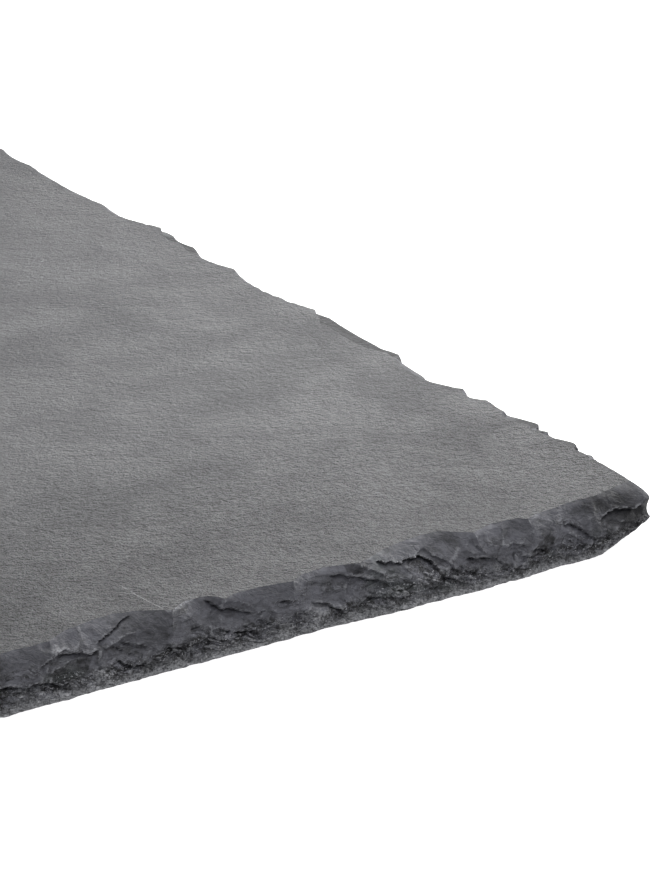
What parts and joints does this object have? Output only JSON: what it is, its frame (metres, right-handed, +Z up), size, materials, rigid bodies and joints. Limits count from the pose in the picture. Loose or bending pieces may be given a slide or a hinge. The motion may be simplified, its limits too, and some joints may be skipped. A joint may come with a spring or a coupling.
{
  "type": "slate slab",
  "caption": "Thin rectangular slab of natural slate with a cleft flat face and hand-chipped edges, for serving or display; lies flat on its smooth underside",
  "frame": {"origin": "Middle of the underside, on the surface that the slab lies on", "axes": "+X along the long side, +Y along the short side, +Z up out of the cleft top face"},
  "size_m": [0.2997, 0.1998, 0.005],
  "materials": {
    "slate": "cleft, dull with a faint sheen"
  },
  "bodies": {
    "root": {"slate_slab": "slate"}
  },
  "joints": []
}
